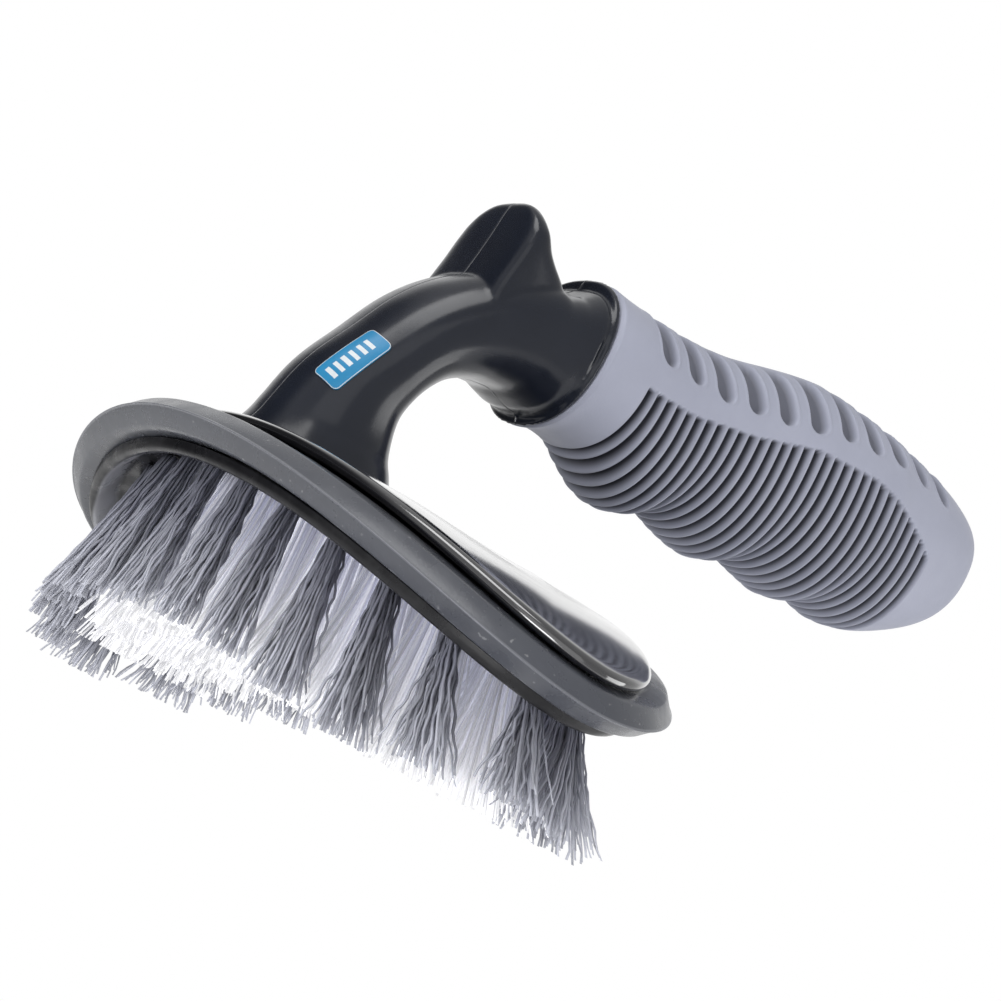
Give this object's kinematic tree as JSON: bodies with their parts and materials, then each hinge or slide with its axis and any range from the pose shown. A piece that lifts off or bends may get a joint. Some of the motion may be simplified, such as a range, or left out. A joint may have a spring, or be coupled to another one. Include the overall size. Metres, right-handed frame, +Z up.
{
  "type": "wheel brush",
  "caption": "Hand wheel brush: arched oval head with a soft bumper and splayed bristle tufts, arched two-shell neck with a thumb stop, and a ribbed soft grip set across the head",
  "frame": {"origin": "middle of the bounding box's bottom face, on the plane that the lowest tuft tips touch", "axes": "X runs along the oval head, Y along the handle from the head towards the butt, Z up from the tuft tips to the thumb stop"},
  "size_m": [0.1642, 0.1486, 0.1],
  "materials": {
    "shell_plastic": "satin black moulded polypropylene",
    "cover_plastic": "polished black moulded plastic",
    "block_plastic": "black moulded plastic rim with a grey inner wall",
    "bumper_rubber": "grey soft moulded bumper",
    "grip_rubber": "pale lavender grey soft over-mould",
    "dark_bristle": "dark grey crimped filament",
    "pale_bristle": "pale lavender filament",
    "label_film": "plain blue label film"
  },
  "bodies": {
    "root": {"bumper_ring": "bumper_rubber", "grip_sleeve": "grip_rubber", "handle_shell_left": "shell_plastic", "handle_shell_right": "shell_plastic", "head_cover": "cover_plastic", "label": "label_film", "tuft_block": "block_plastic", "tuft_centre_01": "pale_bristle", "tuft_centre_02": "pale_bristle", "tuft_centre_03": "pale_bristle", "tuft_centre_04": "pale_bristle", "tuft_centre_05": "pale_bristle", "tuft_centre_06": "pale_bristle", "tuft_centre_07": "pale_bristle", "tuft_middle_01": "pale_bristle", "tuft_middle_02": "pale_bristle", "tuft_middle_03": "pale_bristle", "tuft_middle_04": "pale_bristle", "tuft_middle_05": "pale_bristle", "tuft_middle_06": "pale_bristle", "tuft_middle_07": "pale_bristle", "tuft_middle_08": "pale_bristle", "tuft_middle_09": "pale_bristle", "tuft_middle_10": "pale_bristle", "tuft_middle_11": "pale_bristle", "tuft_middle_12": "pale_bristle", "tuft_middle_13": "pale_bristle", "tuft_middle_14": "pale_bristle", "tuft_middle_15": "pale_bristle", "tuft_middle_16": "pale_bristle", "tuft_middle_17": "pale_bristle", "tuft_middle_18": "pale_bristle", "tuft_outer_01": "dark_bristle", "tuft_outer_02": "dark_bristle", "tuft_outer_03": "dark_bristle", "tuft_outer_04": "dark_bristle", "tuft_outer_05": "dark_bristle", "tuft_outer_06": "dark_bristle", "tuft_outer_07": "dark_bristle", "tuft_outer_08": "dark_bristle", "tuft_outer_09": "dark_bristle", "tuft_outer_10": "dark_bristle", "tuft_outer_11": "dark_bristle", "tuft_outer_12": "dark_bristle", "tuft_outer_13": "dark_bristle", "tuft_outer_14": "dark_bristle", "tuft_outer_15": "dark_bristle", "tuft_outer_16": "dark_bristle", "tuft_outer_17": "dark_bristle", "tuft_outer_18": "dark_bristle", "tuft_outer_19": "dark_bristle", "tuft_outer_20": "dark_bristle", "tuft_outer_21": "dark_bristle", "tuft_outer_22": "dark_bristle", "tuft_outer_23": "dark_bristle", "tuft_outer_24": "dark_bristle"}
  },
  "joints": []
}
